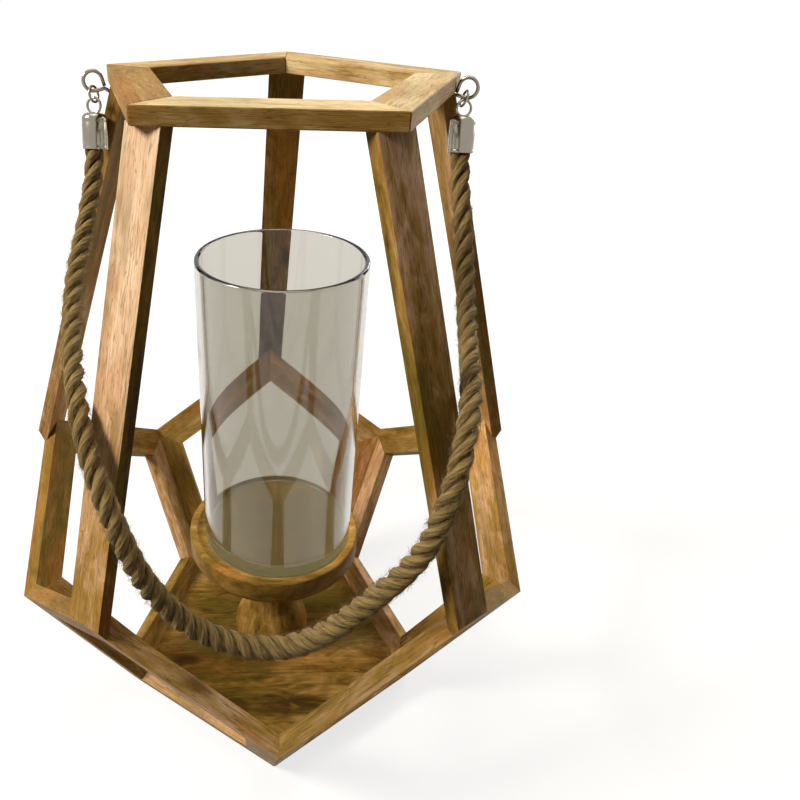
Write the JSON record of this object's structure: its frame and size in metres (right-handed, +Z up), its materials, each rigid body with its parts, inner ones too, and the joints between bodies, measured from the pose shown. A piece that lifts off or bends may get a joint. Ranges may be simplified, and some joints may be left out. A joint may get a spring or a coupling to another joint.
{
  "type": "hanging lantern",
  "caption": "Wooden basket of pentagon frames with slanting legs, a flat pentagon top ring, a glass cylinder on a turned pedestal and a rope handle on chrome eyes.",
  "frame": {"origin": "centre of the outline on the floor plane, at the underside of the base", "axes": "+Z up along the lantern's axis, -Y towards the side where the handle rests, +X to the right seen from there"},
  "size_m": [0.3341, 0.3443, 0.416],
  "materials": {
    "strip_wood": "planed and oiled",
    "dowel_wood": "plain",
    "turned_wood": "turned and oiled",
    "clear_glass": "clear, polished",
    "plated_wire": "bright plated",
    "plated_cap": "bright plated",
    "steel": "plain steel",
    "jute": "three-strand, hairy"
  },
  "bodies": {
    "basket": {"front_right_sill": "strip_wood", "front_right_stile_right": "strip_wood", "front_right_rafter_right": "strip_wood", "front_right_rafter_left": "strip_wood", "front_right_stile_left": "strip_wood", "right_sill": "strip_wood", "right_stile_right": "strip_wood", "right_rafter_right": "strip_wood", "right_rafter_left": "strip_wood", "right_stile_left": "strip_wood", "back_sill": "strip_wood", "back_stile_right": "strip_wood", "back_rafter_right": "strip_wood", "back_rafter_left": "strip_wood", "back_stile_left": "strip_wood", "left_sill": "strip_wood", "left_stile_right": "strip_wood", "left_rafter_right": "strip_wood", "left_rafter_left": "strip_wood", "left_stile_left": "strip_wood", "front_left_sill": "strip_wood", "front_left_stile_right": "strip_wood", "front_left_rafter_right": "strip_wood", "front_left_rafter_left": "strip_wood", "front_left_stile_left": "strip_wood", "leg_front_right": "strip_wood", "leg_right": "strip_wood", "leg_back": "strip_wood", "leg_left": "strip_wood", "leg_front_left": "strip_wood", "leg_foot_dowels": "dowel_wood", "ring_front": "strip_wood", "ring_right_front": "strip_wood", "ring_right_back": "strip_wood", "ring_left_back": "strip_wood", "ring_left_front": "strip_wood", "base_board_front": "strip_wood", "base_board_middle": "strip_wood", "base_board_back": "strip_wood", "pedestal_screw": "steel", "pedestal_stem": "turned_wood", "glass_cup": "turned_wood", "screw_eye_right": "plated_wire", "screw_eye_left": "plated_wire"},
    "glass": {"glass_cylinder": "clear_glass"},
    "links": {"link_right": "plated_wire", "link_left": "plated_wire"},
    "handle": {"rope_cap_right": "plated_cap", "rope_cap_left": "plated_cap", "rope": "jute"}
  },
  "joints": [
    {"name": "glass_lift", "type": "slide", "parent": "basket", "child": "glass", "axis": [0, 0, 1], "range_m": [0, 0.31]},
    {"name": "link_swing", "type": "hinge", "parent": "basket", "child": "links", "pos_m": [-0.00018, 0.01828, 0.4047], "axis": [-0.9973, 0.0727, -0.004], "range_deg": [0, 95]},
    {"name": "cap_swing", "type": "hinge", "parent": "links", "child": "handle", "pos_m": [-0.00047, 0.01485, 0.40206], "axis": [-0.9963, 0.0836, -0.0183], "range_deg": [0, 52]}
  ]
}
